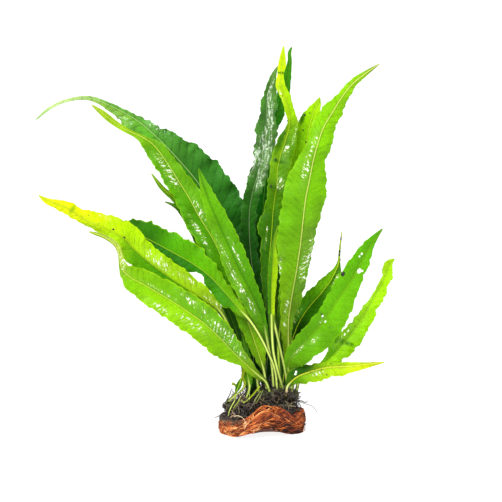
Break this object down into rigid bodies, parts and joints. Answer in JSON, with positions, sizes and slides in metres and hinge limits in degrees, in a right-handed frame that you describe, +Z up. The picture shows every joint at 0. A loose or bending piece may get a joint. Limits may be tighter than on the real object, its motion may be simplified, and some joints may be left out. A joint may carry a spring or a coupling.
{
  "type": "java fern",
  "caption": "Java fern with long ruffled fronds rising on thin stalks from creeping rhizomes over a root mass held on a flat coconut-fibre pad.",
  "frame": {"origin": "a point under the middle of the plant on the flat underside of the coir pad, at the height of the surface that it rests on", "axes": "+Z up, +X to the right of the side that the plant is seen from, -Y towards that side"},
  "size_m": [0.2154, 0.1401, 0.2327],
  "materials": {
    "frond_green": "gloss",
    "frond_dark": "satin",
    "frond_lime": "gloss",
    "frond_pale": "gloss",
    "rhizome": "satin",
    "roots": "matte",
    "coir": "matte"
  },
  "bodies": {
    "root": {"coir_pad": "coir", "root_clump": "roots", "rhizome_front": "rhizome", "rhizome_left": "rhizome", "rhizome_back": "rhizome", "frond_back_long": "frond_dark", "frond_left_upper": "frond_green", "frond_front_left": "frond_green", "frond_left_middle": "frond_dark", "frond_left_long": "frond_lime", "frond_left_broad": "frond_green", "frond_tall_pale": "frond_pale", "frond_tall_back": "frond_dark", "frond_centre_twisted": "frond_green", "frond_right_behind": "frond_green", "frond_tall_right": "frond_green", "frond_right_dark": "frond_dark", "frond_right_broad": "frond_green", "frond_right_outer": "frond_lime", "frond_right_low": "frond_lime", "frond_front_narrow": "frond_lime", "frond_left_thin_upper": "frond_green", "frond_left_thin_lower": "frond_dark", "frond_rear_left": "frond_green", "frond_rear_centre": "frond_dark", "frond_rear_right": "frond_green", "frond_small_bent": "frond_lime", "frond_small_dark": "frond_dark", "frond_small_bright": "frond_green", "frond_small_shaded": "frond_dark", "stalk_cut_left": "frond_lime", "bud_left": "frond_green"}
  },
  "joints": []
}
